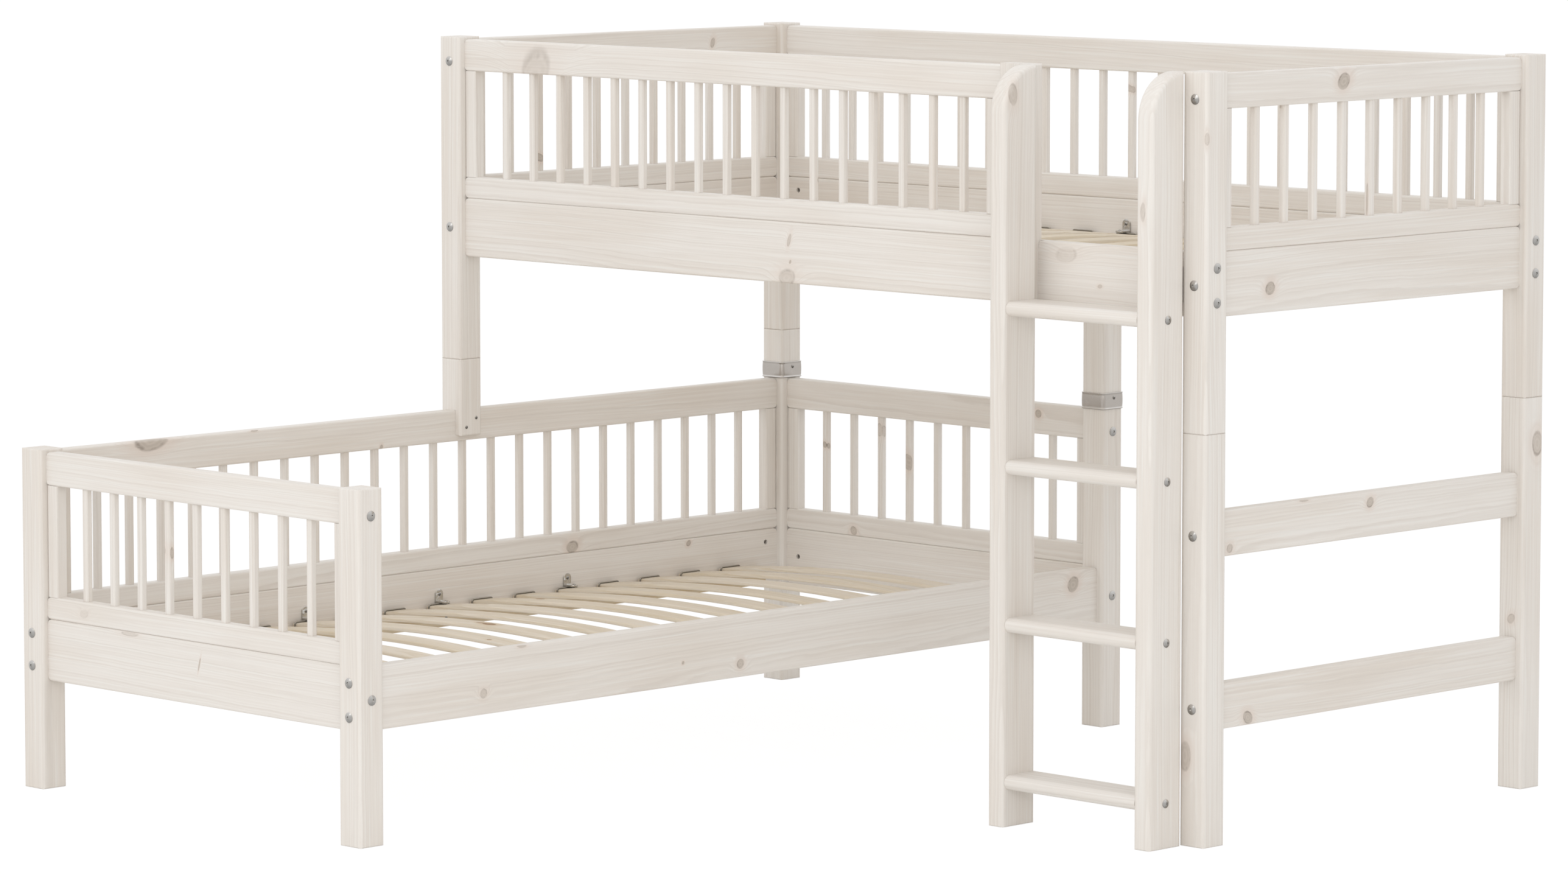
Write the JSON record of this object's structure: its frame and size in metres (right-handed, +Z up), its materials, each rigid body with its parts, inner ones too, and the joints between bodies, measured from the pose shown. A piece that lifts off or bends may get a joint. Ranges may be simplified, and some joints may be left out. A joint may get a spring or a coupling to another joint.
{
  "type": "l shaped bunk bed",
  "caption": "L shaped pine bunk bed: a low bed with a high bed set across its back end on legs and risers, spindle guards, slatted bases and a fixed ladder.",
  "frame": {"origin": "on the floor, in the middle of the square footprint, bolt heads included", "axes": "+Z up; the low bed runs along Y; the high bed runs along X over the low bed's back end at +Y; the ladder is at the front of the high bed, near its right end at +X"},
  "size_m": [2.1068, 2.1068, 1.435],
  "materials": {
    "whitewashed_pine": "satin",
    "slat_pine": "satin",
    "ledger_pine": "satin",
    "beech_dowel": "satin",
    "clip_wire": "satin",
    "bright_steel": "polished",
    "satin_steel": "satin",
    "screw_steel": "satin"
  },
  "bodies": {
    "root": {"low_post_front_left": "whitewashed_pine", "low_post_front_right": "whitewashed_pine", "low_post_back_left": "whitewashed_pine", "low_post_back_right": "whitewashed_pine", "high_post_front_left": "whitewashed_pine", "high_post_front_right": "whitewashed_pine", "high_post_back_left": "whitewashed_pine", "high_post_back_right": "whitewashed_pine", "leg_front_right": "whitewashed_pine", "leg_back_right": "whitewashed_pine", "cross_bar_lower": "whitewashed_pine", "cross_bar_upper": "whitewashed_pine", "riser_front_left": "whitewashed_pine", "riser_back_left": "whitewashed_pine", "riser_back_middle": "whitewashed_pine", "low_side_board_left": "whitewashed_pine", "low_side_board_right": "whitewashed_pine", "low_end_board_front": "whitewashed_pine", "low_end_board_back": "whitewashed_pine", "high_side_board_front": "whitewashed_pine", "high_side_board_back": "whitewashed_pine", "high_end_board_left": "whitewashed_pine", "high_end_board_right": "whitewashed_pine", "low_left_guard_top_rail": "whitewashed_pine", "low_left_guard_bottom_rail": "whitewashed_pine", "low_left_guard_spindles": "whitewashed_pine", "low_front_guard_top_rail": "whitewashed_pine", "low_front_guard_bottom_rail": "whitewashed_pine", "low_front_guard_spindles": "whitewashed_pine", "low_back_guard_top_rail": "whitewashed_pine", "low_back_guard_bottom_rail": "whitewashed_pine", "low_back_guard_spindles": "whitewashed_pine", "high_back_guard_top_rail": "whitewashed_pine", "high_back_guard_bottom_rail": "whitewashed_pine", "high_back_guard_spindles": "whitewashed_pine", "high_left_guard_top_rail": "whitewashed_pine", "high_left_guard_bottom_rail": "whitewashed_pine", "high_left_guard_spindles": "whitewashed_pine", "high_right_guard_top_rail": "whitewashed_pine", "high_right_guard_bottom_rail": "whitewashed_pine", "high_right_guard_spindles": "whitewashed_pine", "high_front_guard_top_rail": "whitewashed_pine", "high_front_guard_bottom_rail": "whitewashed_pine", "high_front_guard_spindles": "whitewashed_pine", "guard_end_plank": "whitewashed_pine", "ladder_stile_left": "whitewashed_pine", "ladder_stile_right": "whitewashed_pine", "ladder_rungs": "whitewashed_pine", "ladder_spacers": "whitewashed_pine", "low_slats": "slat_pine", "high_slats": "slat_pine", "slat_ledgers": "ledger_pine", "slat_clips": "clip_wire", "slat_brackets": "bright_steel", "joint_collars": "satin_steel", "bed_bolts": "bright_steel", "ladder_bolts": "bright_steel", "barrel_nuts": "satin_steel", "small_screws": "screw_steel", "joint_dowels": "beech_dowel"}
  },
  "joints": []
}
